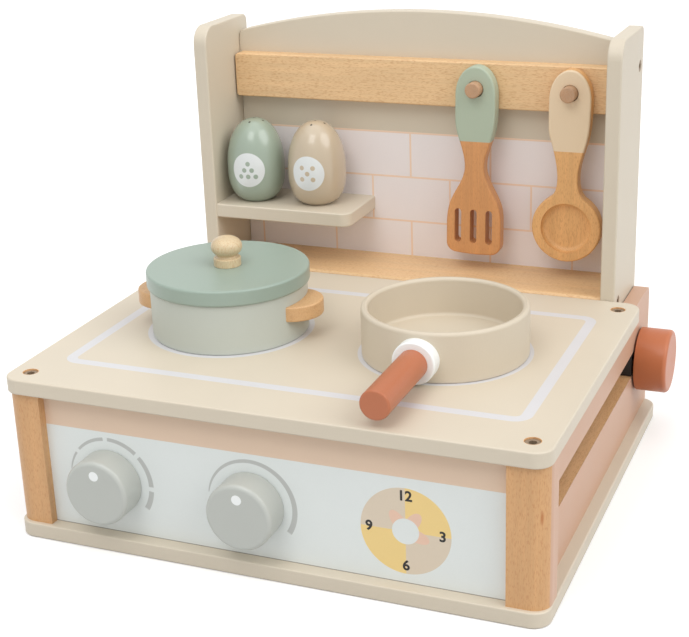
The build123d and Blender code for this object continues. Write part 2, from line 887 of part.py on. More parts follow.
def pot_body():
    """Turned pot with a thick floor."""
    outer = Cylinder(pot_radius, pot_height, align=base_low)
    outer = fillet(outer.faces().sort_by(Axis.Z)[0].edges(), soft_edge)
    inside = Pos(0, 0, pot_floor) * Cylinder(pot_bore, pot_height, align=base_low)
    return at_pot(outer - inside - ear_dowel_list())


def pot_ear(side):
    """Crescent ear of the pot, hollowed to its wall."""
    ear = Pos(side * ear_centre, 0, ear_bottom) * Cylinder(ear_radius, ear_thickness, align=base_low)
    ear = soften(ear, Axis.Z)
    ear -= Cylinder(pot_radius, pot_height, align=base_low)
    return at_pot(ear - ear_dowel_list())


def lid_screw():
    """Countersunk screw up through the lid into its knob, envelope without the socket."""
    screw = countersunk(rail_screw_radius, back_screw_head, back_screw_head_height, lid_screw_length)
    return Pos(pot_x, pot_y, lid_bottom - lid_lip) * Rot(*to_up) * screw


def lid_knob_screw():
    """Screw that holds the lid's knob."""
    socket = hex_socket(back_screw_socket, back_screw_socket_depth)
    return lid_screw() - Pos(pot_x, pot_y, lid_bottom - lid_lip) * Rot(*to_up) * socket


def pot_lid():
    """Lid that overhangs the pot, with a lip that locates it in the bore."""
    disc = rod_z(lid_radius, pot_x, pot_y, (lid_bottom, lid_top))
    disc = fillet(disc.faces().filter_by(Axis.Z).edges(), lid_round)
    lip = rod_z(pot_bore - loose_fit, pot_x, pot_y, (lid_bottom - lid_lip, lid_bottom))
    return disc + lip - lid_screw()


def lid_knob():
    """Turned knob: a round foot, a groove and a flattened ball."""
    groove_low = lid_top + lid_knob_foot_height
    ball_low = lid_top + lid_knob_groove_height
    knob_top = lid_top + lid_knob_height
    foot = rod_z(lid_knob_foot_radius, pot_x, pot_y, (lid_top, groove_low))
    foot = fillet(foot.faces().sort_by(Axis.Z)[-1].edges(), soft_edge)
    groove = rod_z(lid_knob_groove_radius, pot_x, pot_y, (lid_top, ball_low + lid_knob_round))
    ball = rod_z(lid_knob_radius, pot_x, pot_y, (ball_low, knob_top))
    ball = soften(ball, Axis.Z, lid_knob_round)
    tip = lid_bottom - lid_lip + lid_screw_length
    return foot + groove + ball - rod_z(rail_screw_radius, pot_x, pot_y, (lid_top, tip))


def pan_dowel_shape():
    """Dowel from the pan's wall through the collar into the handle."""
    start = pan_y - pan_radius + pan_dowel_bite
    return rod_y(pan_dowel_radius, pan_x, (start, start - pan_dowel_length), pan_handle_z)


def pan_body():
    """Turned frying pan with a rounded rim."""
    outer = rod_z(pan_radius, pan_x, pan_y, (box_height, box_height + pan_height))
    inside = rod_z(pan_radius - pan_wall, pan_x, pan_y,
                   (box_height + pan_floor, box_height + pan_height))
    inside = fillet(inside.faces().sort_by(Axis.Z)[0].edges(), pan_wall / 2)
    pan = outer - inside
    rim = pan.faces().filter_by(Axis.Z).sort_by(Axis.Z)[-1]
    pan = fillet(rim.edges(), pan_rim_round)
    foot = pan.faces().filter_by(Axis.Z).sort_by(Axis.Z)[0]
    return fillet(foot.edges(), soft_edge) - pan_dowel_shape()


def pan_collar():
    """White turned collar between the pan and its handle, hollowed to the wall."""
    collar = rod_y(collar_radius, pan_x, (collar_front, pan_y - pan_radius + collar_radius), pan_handle_z)
    front_face = collar.faces().filter_by(Axis.Y).sort_by(Axis.Y)[0]
    collar = fillet(front_face.edges(), soft_edge)
    wall = rod_z(pan_radius, pan_x, pan_y, (box_height, box_height + pan_height))
    return collar - wall - pan_dowel_shape()


def pan_handle():
    """Round straight handle."""
    handle = rod_y(handle_radius, pan_x, (front + handle_end, collar_front), pan_handle_z)
    end = handle.faces().filter_by(Axis.Y).sort_by(Axis.Y)[0]
    return fillet(end.edges(), handle_round) - pan_dowel_shape()


nodes = {
    "base_board": base_board(),
    "top_board": top_board(),
    "front_panel": front_panel(),
    "cooktop_bolts": cooktop_bolts(),
    "cooktop_barrel_nuts": cooktop_barrel_nuts(),
    "base_screws": base_screws(),
    "front_panel_dowels": group(panel_dowels()),
    "side_panel_dowels": group(side_dowels()),
    "back_board": back_board(),
    "utensil_rail": utensil_rail(),
    "spatula_peg": peg(spatula_x),
    "spoon_peg": peg(spoon_x),
    "ledge": ledge(),
    "shelf": shelf(),
    "wing_screws": wing_screws(),
    "wing_dowels": group(wing_dowels()),
    "rail_screws": screws_from_behind(rail_screw_length, rail_screw_points),
    "shelf_screws": screws_from_behind(shelf_screw_length, shelf_screw_points),
    "pot_body": pot_body(),
    "pot_ear_dowels": group(at_pot(dowel) for dowel in ear_dowel_list()),
    "pot_lid": pot_lid(),
    "lid_knob": lid_knob(),
    "lid_knob_screw": lid_knob_screw(),
    "pan_body": pan_body(),
    "pan_collar": pan_collar(),
    "pan_handle": pan_handle(),
    "pan_handle_dowel": pan_dowel_shape(),
    "spatula": spatula(),
    "spoon": spoon(),
    "pepper_shaker": shaker(pepper_x, pepper_setback),
    "salt_shaker": shaker(salt_x, salt_setback),
}
for label, side in (("left", -1), ("right", 1)):
    nodes[f"{label}_front_post"] = front_post(side)
    nodes[f"{label}_side_panel"] = side_panel(side)
    nodes[f"{label}_wing"] = wing(side)
    nodes[f"{label}_clamp_insert"] = clamp_insert(side)
    nodes[f"{label}_slot_runner"] = slot_runner(side)
    nodes[f"{label}_clamp_washer"] = clamp_washer(side)
    nodes[f"{label}_clamp_knob"] = clamp_knob(side)
    nodes[f"{label}_clamp_bolt"] = clamp_bolt_envelope(side)
    nodes[f"{label}_pot_ear"] = pot_ear(side)
for label, x in (("left", left_knob_x), ("right", right_knob_x)):
    nodes[f"{label}_burner_knob"] = burner_knob(x)
    nodes[f"{label}_knob_axle"] = knob_axle(x)
    nodes[f"{label}_knob_washer"] = knob_washer(x)
    nodes[f"{label}_knob_nut"] = knob_nut(x)

os.makedirs("parts", exist_ok=True)
for name, shape in nodes.items():
    export_step(shape, f"parts/{name}.step")
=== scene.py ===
"""Dressed model of a tabletop play kitchen: smooth turned pieces, paints, prints and beech.

Lengths are in metres in the mesh and in millimetres inside the materials.
X runs left to right, Y front to back, Z up. The origin is under the middle of the base board.
"""

from functools import reduce
from math import cos, radians, sin

import bpy
import numpy as np
from bpy.props import FloatProperty, FloatVectorProperty, IntProperty, PointerProperty
from mathutils import Matrix, Vector


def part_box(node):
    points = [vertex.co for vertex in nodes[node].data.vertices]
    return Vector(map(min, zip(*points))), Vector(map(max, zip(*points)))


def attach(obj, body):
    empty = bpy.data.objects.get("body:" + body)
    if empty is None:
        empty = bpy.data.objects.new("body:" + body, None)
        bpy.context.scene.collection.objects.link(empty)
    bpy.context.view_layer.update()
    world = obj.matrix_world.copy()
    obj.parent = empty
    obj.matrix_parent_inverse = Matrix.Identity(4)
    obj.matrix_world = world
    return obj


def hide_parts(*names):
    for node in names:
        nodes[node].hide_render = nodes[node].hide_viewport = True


bl_info = {
    "name": "Tabletop play kitchen",
    "version": (1, 0, 0),
    "blender": (4, 5, 0),
    "location": "3D View > Sidebar > Play kitchen",
    "description": "Builds the finishes and turned pieces of a tabletop play kitchen",
    "category": "Object",
}

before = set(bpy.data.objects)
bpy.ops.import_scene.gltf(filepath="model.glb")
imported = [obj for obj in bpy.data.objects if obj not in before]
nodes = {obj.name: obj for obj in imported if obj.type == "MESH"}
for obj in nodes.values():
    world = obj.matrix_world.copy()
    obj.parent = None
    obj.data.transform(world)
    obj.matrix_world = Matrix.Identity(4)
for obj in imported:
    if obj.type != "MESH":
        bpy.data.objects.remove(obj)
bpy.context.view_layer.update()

MM = 0.001
FACING_FRONT = Matrix.Rotation(radians(90), 4, "X")
FACING_RIGHT = Matrix.Rotation(radians(90), 4, "Y")
FACING_LEFT = Matrix.Rotation(radians(-90), 4, "Y")


def srgb(red, green, blue):
    """Scene-linear colour of a display colour written from 0 to 255."""
    shown = np.array([red, green, blue]) / 255
    linear = np.where(shown <= 0.04045, shown / 12.92, ((shown + 0.055) / 1.055) ** 2.4)
    return tuple(float(value) for value in linear)


def colour(name, text, *shown):
    """Colour setting with its default given as a display colour."""
    return FloatVectorProperty(name=name, description=text, default=srgb(*shown), subtype="COLOR",
                               size=3, min=0, max=1)


class KitchenPaints(bpy.types.PropertyGroup):
    """Colours of the kitchen's paints, prints, woods and metals."""

    beige: colour("Beige", "Boards, wings and shelf", 210, 199, 180)
    peach: colour("Peach", "Side panels", 203, 164, 138)
    stripe: colour("Stripe", "Band along the top of the front panel", 224, 198, 174)
    panel: colour("Panel", "Lower part of the front panel", 225, 230, 228)
    print_white: colour("Print white", "Lines printed on the cooktop", 209, 208, 210)
    tile: colour("Tile", "Printed tiles", 238, 231, 231)
    joint: colour("Joint", "Joints between the printed tiles", 240, 212, 188)
    scale_grey: colour("Scale grey", "Printed scales round the turning knobs", 188, 190, 187)
    dial_yellow: colour("Dial yellow", "Yellow quarters of the dial", 238, 208, 139)
    dial_beige: colour("Dial beige", "Beige quarters of the dial", 218, 203, 182)
    dial_pink: colour("Dial pink", "Petals on the dial", 231, 195, 172)
    beech: colour("Beech", "Ears of the pot and the dowels", 205, 165, 119)
    rail_beech: colour("Rail beech", "Rail and ledge of the back", 224, 188, 142)
    post_beech: colour("Post beech", "Corner posts", 206, 160, 112)
    beech_fleck: colour("Beech fleck", "Short dark flecks in the beech", 184, 122, 72)
    raw_edge: colour("Raw edge", "Unpainted edges of the boards", 219, 174, 126)
    pale_wood: colour("Pale wood", "Knob of the lid", 206, 186, 150)
    sage: colour("Sage", "Lid of the pot", 148, 164, 152)
    pot_green: colour("Pot green", "Pot", 187, 192, 183)
    shaker_sage: colour("Shaker sage", "Left shaker", 154, 168, 152)
    shaker_beige: colour("Shaker beige", "Right shaker", 192, 176, 152)
    handle_sage: colour("Handle sage", "Spatula handle", 173, 185, 164)
    spatula_beech: colour("Spatula beech", "Bare wood of the spatula", 208, 149, 96)
    spoon_beech: colour("Spoon beech", "Bare wood of the spoon", 225, 174, 115)
    peg_wood: colour("Peg wood", "Pegs", 184, 147, 115)
    cream: colour("Cream", "Spoon handle", 229, 206, 174)
    pan: colour("Pan", "Frying pan", 206, 194, 174)
    clamp_terracotta: colour("Clamp terracotta", "Clamp knobs", 189, 109, 67)
    white: colour("White", "Collar of the pan and dots of the knobs", 240, 243, 242)
    label: colour("Label", "Labels of the shakers", 219, 223, 223)
    terracotta: colour("Terracotta", "Handle of the pan", 180, 105, 68)
    knob_grey: colour("Knob grey", "Turning knobs", 184, 187, 181)
    gap: colour("Gap", "Shadow in the joint under the front panel", 96, 84, 72)
    figures: colour("Figures", "Numbers on the dial", 24, 22, 22)
    # Painted shade: dark spots on the shakers' tops stand for the shade in their holes.
    hole_shade: colour("Holes", "Holes on top of the shakers", 60, 58, 52)
    zinc: colour("Zinc", "Hidden screws, nuts, washers and axles", 176, 174, 170)
    dark_steel: colour("Dark steel", "Socket-head bolts that show", 158, 139, 118)
    brass: colour("Brass", "Threaded inserts", 206, 172, 110)
    # Black nylon runners, whose black also paints the shade in the slots beside the clamp knobs.
    nylon_and_slot_shade: colour("Nylon", "Runners in the slots", 34, 32, 31)


class KitchenSizes(bpy.types.PropertyGroup):
    """Sizes of the details that the finishes add."""

    rounds: IntProperty(name="Rounds", description="Points round a turned piece", default=144,
                        min=24, max=256)
    line_width: FloatProperty(name="Line width", default=7.5, min=1, max=20,
                              description="Width of the cooktop's line in millimetres")
    label_radius: FloatProperty(name="Label radius", default=13.9, min=5, max=20,
                                description="Radius of a shaker's label in millimetres")
    figure_height: FloatProperty(name="Figure height", description="Height of the dial's numbers",
                                 default=0.0078, min=0.002, max=0.02, subtype="DISTANCE", unit="LENGTH")


class Signal:
    """A number that material nodes work out. Arithmetic on it adds more nodes."""

    def __init__(self, tree, socket):
        self.tree = tree
        self.socket = socket

    def apply(self, operation, *others, clamp=False):
        """Math node with this number first."""
        node = self.tree.nodes.new("ShaderNodeMath")
        node.operation = operation
        node.use_clamp = clamp
        for socket, value in zip(node.inputs, (self, *others)):
            if isinstance(value, Signal):
                self.tree.links.new(value.socket, socket)
            else:
                socket.default_value = value
        return Signal(self.tree, node.outputs[0])

    def __add__(self, other):
        return self.apply("ADD", other)

    def __sub__(self, other):
        return self.apply("SUBTRACT", other)

    def __mul__(self, other):
        return self.apply("MULTIPLY", other)

    def __abs__(self):
        return self.apply("ABSOLUTE")

    def under(self, limit, soft=0.2):
        """1 below the limit and 0 above it, with an edge as wide as soft."""
        return self.apply("MULTIPLY_ADD", -1 / soft, limit / soft + 0.5, clamp=True)

    def over(self, limit, soft=0.2):
        """1 above the limit and 0 below it."""
        return self.apply("MULTIPLY_ADD", 1 / soft, 0.5 - limit / soft, clamp=True)

    def within(self, low, high, soft=0.2):
        """1 between two limits."""
        return self.over(low, soft) * self.under(high, soft)

    def either(self, other):
        """The larger of two masks."""
        return self.apply("MAXIMUM", other)

    def reach(self, other):
        """Length of the vector made of two numbers."""
        return (self * self + other * other).apply("SQRT")


class Finish:
    """A material while it is being put together."""

    def __init__(self, name, roughness, coat=0.0, metallic=0.0):
        self.roughness = roughness
        self.material = bpy.data.materials.new(name)
        self.material.use_nodes = True
        self.tree = self.material.node_tree
        self.shader = self.tree.nodes["Principled BSDF"]
        self.shader.inputs["Roughness"].default_value = roughness
        self.shader.inputs["Coat Weight"].default_value = coat
        self.shader.inputs["Coat Roughness"].default_value = 0.12
        self.shader.inputs["Metallic"].default_value = metallic
        place = self.add("ShaderNodeTexCoord").outputs["Object"]
        large = self.add("ShaderNodeVectorMath")
        large.operation = "SCALE"
        large.inputs["Scale"].default_value = 1 / MM
        self.tree.links.new(place, large.inputs[0])
        self.place = large.outputs[0]
        axes = self.add("ShaderNodeSeparateXYZ")
        self.tree.links.new(self.place, axes.inputs[0])
        self.x, self.y, self.z = (Signal(self.tree, socket) for socket in axes.outputs)

    def add(self, kind):
        """New node of a kind."""
        return self.tree.nodes.new(kind)

    def noise(self, per_mm, detail):
        """Cloudy number about 0.5, with so many features in a millimetre along each axis."""
        stretch = self.add("ShaderNodeMapping")
        stretch.inputs["Scale"].default_value = per_mm
        self.tree.links.new(self.place, stretch.inputs["Vector"])
        cloud = self.add("ShaderNodeTexNoise")
        cloud.inputs["Scale"].default_value = 1.0
        cloud.inputs["Detail"].default_value = detail
        self.tree.links.new(stretch.outputs[0], cloud.inputs["Vector"])
        return Signal(self.tree, cloud.outputs["Fac"])

    def mix(self, mask, low, high):
        """Colour that is low where the mask is 0 and high where it is 1."""
        node = self.add("ShaderNodeMix")
        node.data_type = "RGBA"
        self.tree.links.new(mask.socket, node.inputs[0])
        for socket, value in ((node.inputs[6], low), (node.inputs[7], high)):
            if isinstance(value, bpy.types.NodeSocket):
                self.tree.links.new(value, socket)
            else:
                socket.default_value = (*value, 1)
        return node.outputs[2]

    def shade(self, tint, amount):
        """Colour multiplied by a number."""
        node = self.add("ShaderNodeVectorMath")
        node.operation = "SCALE"
        if isinstance(tint, bpy.types.NodeSocket):
            self.tree.links.new(tint, node.inputs[0])
        else:
            node.inputs[0].default_value = tuple(tint)
        self.tree.links.new(amount.socket, node.inputs["Scale"])
        return node.outputs[0]

    def uneven(self, cloud, swing=0.16):
        """Roughness that wanders with a cloudy number, about the finish's own."""
        return cloud * swing + (self.roughness - swing / 2)

    def done(self, tint, height, depth, rough=None):
        """Connect colour, bump height with its depth in millimetres, and roughness."""
        self.tree.links.new(tint, self.shader.inputs["Base Color"])
        bump = self.add("ShaderNodeBump")
        bump.inputs["Strength"].default_value = 1.0
        bump.inputs["Distance"].default_value = depth * MM
        self.tree.links.new(height.socket, bump.inputs["Height"])
        self.tree.links.new(bump.outputs[0], self.shader.inputs["Normal"])
        if rough is not None:
            self.tree.links.new(rough.socket, self.shader.inputs["Roughness"])
        return self.material


def paint_layer(finish, tint):
    """Rolled satin paint: its colour with faint clouds, the fine stipple, and the clouds."""
    clouds = finish.noise((0.022, 0.022, 0.022), 3.0)
    stipple = finish.noise((0.9, 0.9, 0.9), 2.0)
    amount = clouds * 0.06 + stipple * 0.03 + 0.955
    return finish.shade(tint, amount), stipple, clouds


def painted(name, tint, roughness=0.46, coat=0.0):
    """Plain painted wood."""
    finish = Finish(name, roughness, coat)
    tone, stipple, clouds = paint_layer(finish, tint)
    return finish.done(tone, stipple, 0.035, finish.uneven(clouds))


def beech_layer(finish, grain, tint, fleck):
    """Beech with its grain along one axis: its colour, its fine relief, and its broad streaks.

    The colour has broad streaks, fine fibres and short dark flecks.
    """
    def along(slow, fast):
        return tuple(slow if axis == grain else fast for axis in "XYZ")

    streaks = finish.noise(along(0.008, 0.13), 3.0)
    fibres = finish.noise(along(0.05, 1.5), 2.0)
    dashes = finish.noise(along(0.32, 1.9), 1.0)
    tone = finish.shade(tint, streaks * 0.36 + fibres * 0.2 + 0.74)
    marks = dashes.over(0.6, 0.12) * 0.42
    return finish.mix(marks, tone, fleck), fibres - marks * 0.4, streaks


def beech(name, grain, paints, tint=None, roughness=0.44):
    """Clear finished beech."""
    finish = Finish(name, roughness)
    tone, height, streaks = beech_layer(finish, grain, tint or paints.beech, paints.beech_fleck)
    return finish.done(tone, height, 0.05, finish.uneven(streaks, 0.2))


def steel(name, tint, roughness=0.32, metallic=1.0):
    """Plated steel with fine turning marks."""
    finish = Finish(name, roughness, metallic=metallic)
    marks = finish.noise((0.8, 0.8, 6.0), 2.0)
    tone = finish.shade(tint, marks * 0.3 + 0.85)
    return finish.done(tone, marks, 0.01, finish.uneven(marks, 0.2))


def dress(material, *names):
    """Give CAD pieces a material in all their slots."""
    for name in names:
        mesh = nodes[name].data
        mesh.materials.clear()
        mesh.materials.append(material)


def centre(name):
    """Middle of a CAD piece."""
    low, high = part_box(name)
    return (low + high) / 2


def bent(corners, arcs):
    """Profile through corner points in millimetres, each inner corner turned into an arc.

    An arc of radius r leaves both its sides at r / tan(half the corner's angle) from the corner.
    A support point just outside each arc keeps the flat parts shaded flat.
    """
    steps, support = 10, 0.15
    corners = np.array(corners, float)
    made = [corners[:1]]
    for before, corner, after, radius in zip(corners, corners[1:], corners[2:], arcs):
        back = (before - corner) / np.linalg.norm(before - corner)
        ahead = (after - corner) / np.linalg.norm(after - corner)
        half = np.arccos(np.clip(back @ ahead, -1, 1)) / 2
        reach = radius / np.tan(half)
        middle = corner + (back + ahead) / np.linalg.norm(back + ahead) * radius / np.sin(half)
        start = corner + back * reach - middle
        end = corner + ahead * reach - middle
        turn = np.pi - 2 * half
        share = np.linspace(0, 1, steps)[:, None]
        arc = (np.sin((1 - share) * turn) * start + np.sin(share * turn) * end) / np.sin(turn)
        lead = corner + back * (reach + support)
        trail = corner + ahead * (reach + support)
        made += [lead[None], middle + arc, trail[None]]
    return np.concatenate([*made, corners[-1:]])


def vessel(outer, inner, height, floor, arcs):
    """Profile of an open round vessel with a flat floor."""
    outside = (0, 0), (outer, 0), (outer, height)
    inside = (inner, height), (inner, floor), (0, floor)
    return bent(outside + inside, arcs)


def disc(radius, length, arcs):
    """Profile of a disc or a round rod."""
    return bent([(0, 0), (radius, 0), (radius, length), (0, length)], arcs)


def turned(name, profile, place, rounds):
    """Turned solid from a profile whose two ends lie on the axis.

    A profile point (radius r, height h) becomes the circle place @ (r cos u, r sin u, h).
    The first and last points are single poles.
    """
    radius, height = profile.T * MM
    angle = np.arange(rounds) * 2 * np.pi / rounds
    ring = np.stack([np.outer(radius, np.cos(angle)), np.outer(radius, np.sin(angle)),
                     np.repeat(height[:, None], rounds, 1)], -1)
    points = np.concatenate([[[0, 0, height[0]]], ring[1:-1].reshape(-1, 3), [[0, 0, height[-1]]]])
    index = 1 + np.arange((len(profile) - 2) * rounds).reshape(-1, rounds)
    following = np.roll(index, -1, 1)
    sides = np.stack([index[:-1], following[:-1], following[1:], index[1:]], -1).reshape(-1, 4)
    first = np.stack([np.zeros(rounds, int), following[0], index[0]], -1)
    last = np.stack([np.full(rounds, len(points) - 1), index[-1], following[-1]], -1)
    spot = np.array(place)
    return add_mesh(name, points @ spot[:3, :3].T + spot[:3, 3], [sides, first, last])


def add_mesh(name, points, faces):
    """Smooth shaded object from points and arrays of faces."""
    mesh = bpy.data.meshes.new(name)
    mesh.from_pydata(points.tolist(), [], [face for group in faces for face in group.tolist()])
    mesh.shade_smooth()
    piece = bpy.data.objects.new(name, mesh)
    bpy.context.scene.collection.objects.link(piece)
    return piece


def fit(piece, material, body, slot, *stands_for):
    """Give a finished piece its material, its body and the CAD pieces that it stands for."""
    piece.data.materials.append(material)
    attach(piece, body)
    if stands_for:
        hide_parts(*stands_for)


def standing(name):
    """Place of a piece that is turned about a vertical axis, at the middle of its underside."""
    low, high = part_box(name)
    return Matrix.Translation(((low.x + high.x) / 2, (low.y + high.y) / 2, low.z))


class KitchenOperator:
    """What every step of the kitchen shares."""

    bl_options = {"REGISTER"}

    @staticmethod
    def paints(context):
        """Colours of this scene."""
        return context.scene.kitchen_paints

    @staticmethod
    def sizes(context):
        """Sizes of this scene."""
        return context.scene.kitchen_sizes


def cooktop_line(finish, line_width, burners):
    """Mask of the printed line and burner rings on the top of the cooktop.

    The line follows a rounded rectangle: with q the distance outside the inner rectangle,
    the edge lies where |max(q, 0)| + min(max(qx, qy), 0) equals the corner's radius.
    """
    half_width, half_depth, corner = 166.5, 95.65, 12.0
    middle_y = -36.65
    ring_inner, ring_outer = 52.5, 60.4
    board_top = 118.6
    across = abs(finish.x) - (half_width - corner)
    back = abs(finish.y - middle_y) - (half_depth - corner)
    outside = across.apply("MAXIMUM", 0.0).reach(back.apply("MAXIMUM", 0.0))
    edge = outside + across.apply("MAXIMUM", back).apply("MINIMUM", 0.0)
    line = edge.within(corner - line_width, corner, 0.3)
    for spot in burners:
        away = (finish.x - spot.x / MM).reach(finish.y - spot.y / MM)
        line = line.either(away.within(ring_inner, ring_outer, 0.3))
    return line * finish.z.over(board_top)


class KITCHEN_OT_boards(KitchenOperator, bpy.types.Operator):
    """Paint the beige boards and print the cooktop's line"""

    bl_idname = "kitchen.boards"
    bl_label = "Beige boards"

    # Millimetres.
    head_radius = 5.0
    pocket_radius = 5.55

    def execute(self, context):
        paints = self.paints(context)
        beige = painted("warm_beige_paint", paints.beige)
        dress(beige, "base_board", "left_wing", "right_wing", "shelf")
        finish = Finish("cooktop_paint", 0.46)
        burners = centre("pot_body"), centre("pan_body")
        line = cooktop_line(finish, self.sizes(context).line_width, burners)
        tint = finish.mix(line, paints.beige, paints.print_white)
        tone, stipple, clouds = paint_layer(finish, tint)
        column, rows = self.bolt_places()
        bolts = [(abs(finish.x) - column).reach(finish.y - y) for y in rows]
        pocket = bolts[0].under(self.pocket_radius).either(bolts[1].under(self.pocket_radius))
        wood = beech_layer(finish, "X", paints.raw_edge, paints.beech_fleck)[0]
        tone = finish.mix(pocket, tone, wood)
        dress(finish.done(tone, stipple, 0.035, finish.uneven(clouds)), "top_board")
        return {"FINISHED"}

    def bolt_places(self):
        """X of the bolts at the right, and Y of the front and rear bolts, in millimetres."""
        low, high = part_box("cooktop_bolts")
        head = self.head_radius
        return high.x / MM - head, (low.y / MM + head, high.y / MM - head)


class KITCHEN_OT_sides(KitchenOperator, bpy.types.Operator):
    """Paint the side panels, with raw edges, and finish the corner posts"""

    bl_idname = "kitchen.sides"
    bl_label = "Side panels and posts"

    # Millimetres. Faces deeper than the skin are cut edges.
    skin = 0.3
    knot_x = 184.6
    knot_z = 74.5

    def execute(self, context):
        paints = self.paints(context)
        self.panels(paints)
        self.posts(paints)
        return {"FINISHED"}

    def panels(self, paints):
        """Peach paint, with bare wood on the slot's edges."""
        low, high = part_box("right_side_panel")
        finish = Finish("peach_paint", 0.46)
        tone, stipple, clouds = paint_layer(finish, paints.peach)
        wood = beech_layer(finish, "Y", paints.raw_edge, paints.beech_fleck)[0]
        inside = abs(finish.x).within(low.x / MM + self.skin, high.x / MM - self.skin)
        tone = finish.mix(inside * finish.z.under(high.z / MM - 1.0), tone, wood)
        material = finish.done(tone, stipple, 0.035, finish.uneven(clouds))
        dress(material, "left_side_panel", "right_side_panel")

    def posts(self, paints):
        """Beech, with the side panels' paint on the outer faces and one long knot."""
        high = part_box("right_front_post")[1]
        finish = Finish("beech_post", 0.44)
        wood, fibres, streaks = beech_layer(finish, "Z", paints.post_beech, paints.beech_fleck)
        knot = (finish.x - self.knot_x).reach((finish.z - self.knot_z) * 0.2).under(0.8, 0.8)
        wood = finish.mix(knot, wood, paints.beech_fleck)
        tone = paint_layer(finish, paints.peach)[0]
        tone = finish.mix(abs(finish.x).over(high.x / MM - 0.8), wood, tone)
        material = finish.done(tone, fibres, 0.05, finish.uneven(streaks, 0.2))
        dress(material, "left_front_post", "right_front_post")


class KITCHEN_OT_front(KitchenOperator, bpy.types.Operator):
    """Print the front panel: band, knob scales and dial"""

    bl_idname = "kitchen.front"
    bl_label = "Front panel"

    # Places in the part's frame and radii in millimetres, and angles in degrees.
    band_foot = 85.1
    dial = Vector((96.3, 0, 47.8))
    dial_radius = 30.2
    hub_radius = 9.0
    figure_ring = 24.5
    petals_from = -54
    petals_to = 162
    scale_radius = 31.0
    scale_start = 172
    scale_sweep = 204

    def scale(self, finish, knob, gaps):
        """Arc round a knob that widens clockwise along its sweep, with gaps if asked."""
        x = finish.x - knob.x / MM
        z = finish.z - knob.z / MM
        angle = z.apply("ARCTAN2", x)
        wrapped = angle + angle.under(-2.2, 0.01) * (2 * np.pi)
        along = (wrapped * -1 + radians(self.scale_start)) * (1 / radians(self.scale_sweep))
        thickness = along.apply("SQRT") * 1.75 + 0.2
        band = (abs(x.reach(z) - self.scale_radius) - thickness).under(0.0, 0.25)
        arc = band * along.within(0.0, 1.0, 0.01)
        if gaps:
            spacing, first, half_gap = 0.235, 0.15, 0.065
            ends = abs(((along - first) * (1 / spacing) + 0.5).apply("FRACT") - 0.5)
            arc = arc * ends.over(half_gap, 0.02)
        return arc

    def execute(self, context):
        paints = self.paints(context)
        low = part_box("front_panel")[0]
        finish = Finish("front_print", 0.44)
        tint = finish.mix(finish.z.over(self.band_foot), paints.panel, paints.stripe)
        left = self.scale(finish, centre("left_burner_knob"), True)
        right = self.scale(finish, centre("right_burner_knob"), False)
        tint = finish.mix(left.either(right), tint, paints.scale_grey)
        tone, stipple, clouds = paint_layer(finish, self.dialled(finish, tint, paints))
        # Painted shadow: a dark band at the panel's foot, the shade of its joint with the base.
        tone = finish.mix(finish.z.under(low.z / MM + 0.5) * 0.75, tone, paints.gap)
        dress(finish.done(tone, stipple, 0.02, finish.uneven(clouds)), "front_panel")
        self.numbers(context, paints, low.y - 0.05 * MM)
        return {"FINISHED"}

    def dialled(self, finish, tint, paints):
        """Colour with the dial on it: a ring of quarters, and petals in part of it.

        The petals reach to the radius 12.5 - 4 cos(5 a - 90 degrees) at the angle a.
        """
        x = finish.x - self.dial.x
        z = finish.z - self.dial.z
        radius = x.reach(z)
        diagonal = abs(x.over(0.0) - z.over(0.0))
        quarters = finish.mix(diagonal, paints.dial_yellow, paints.dial_beige)
        angle = z.apply("ARCTAN2", x)
        petals = ((angle * 5.0 - radians(90)).apply("COSINE") * -4.0 + 12.5 - radius).over(0.0, 0.4)
        wedge = angle.within(radians(self.petals_from), radians(self.petals_to), 0.02)
        quarters = finish.mix(petals * wedge, quarters, paints.dial_pink)
        return finish.mix(radius.within(self.hub_radius, self.dial_radius), tint, quarters)

    def numbers(self, context, paints, face_y):
        """Numbers 12, 3, 6 and 9 as flat printed figures on the dial."""
        ink = painted("figure_ink", paints.figures, 0.5)
        for figure, angle in (("12", 90), ("3", 0), ("6", -90), ("9", 180)):
            text = bpy.data.curves.new("figure_" + figure, "FONT")
            text.body = figure
            text.size = self.sizes(context).figure_height * 1.25
            text.align_x = "CENTER"
            text.align_y = "CENTER"
            text.resolution_u = 6
            text.offset = 0.0003
            draft = bpy.data.objects.new("draft", text)
            context.scene.collection.objects.link(draft)
            context.view_layer.update()
            shaped = draft.evaluated_get(context.evaluated_depsgraph_get())
            mesh = bpy.data.meshes.new_from_object(shaped)
            bpy.data.objects.remove(draft)
            x = self.dial.x + self.figure_ring * cos(radians(angle))
            z = self.dial.z + self.figure_ring * sin(radians(angle))
            spot = (x * MM, face_y, z * MM)
            mesh.transform(Matrix.Translation(spot) @ FACING_FRONT)
            piece = bpy.data.objects.new("dial_figure_" + figure, mesh)
            context.scene.collection.objects.link(piece)
            mesh.materials.clear()
            fit(piece, ink, "stove_box", "front_print")


